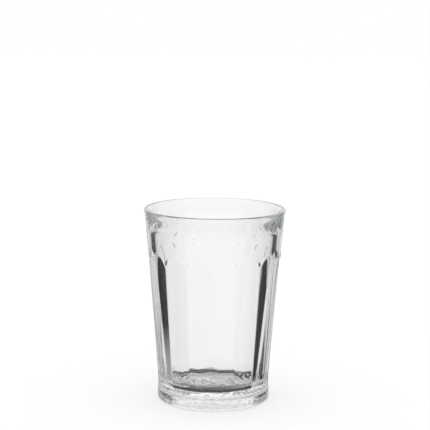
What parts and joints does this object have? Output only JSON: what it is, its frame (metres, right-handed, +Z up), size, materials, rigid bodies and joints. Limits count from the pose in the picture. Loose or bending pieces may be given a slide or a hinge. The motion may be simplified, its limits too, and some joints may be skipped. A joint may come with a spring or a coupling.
{
  "type": "chai glass",
  "caption": "Clear pressed chai glass: a tapered tumbler with a plain band under the rim, round-topped ribs down the wall, a thick base and a plain foot ring.",
  "frame": {"origin": "centre of the foot, on the plane the glass stands on", "axes": "+Z up along the glass's own axis, -Y towards the viewer of the picture, +X to the right"},
  "size_m": [0.0656, 0.0656, 0.09],
  "materials": {
    "clear_glass": "clear pressed soda-lime glass with fire-polished rim"
  },
  "bodies": {
    "root": {"tumbler": "clear_glass"}
  },
  "joints": []
}
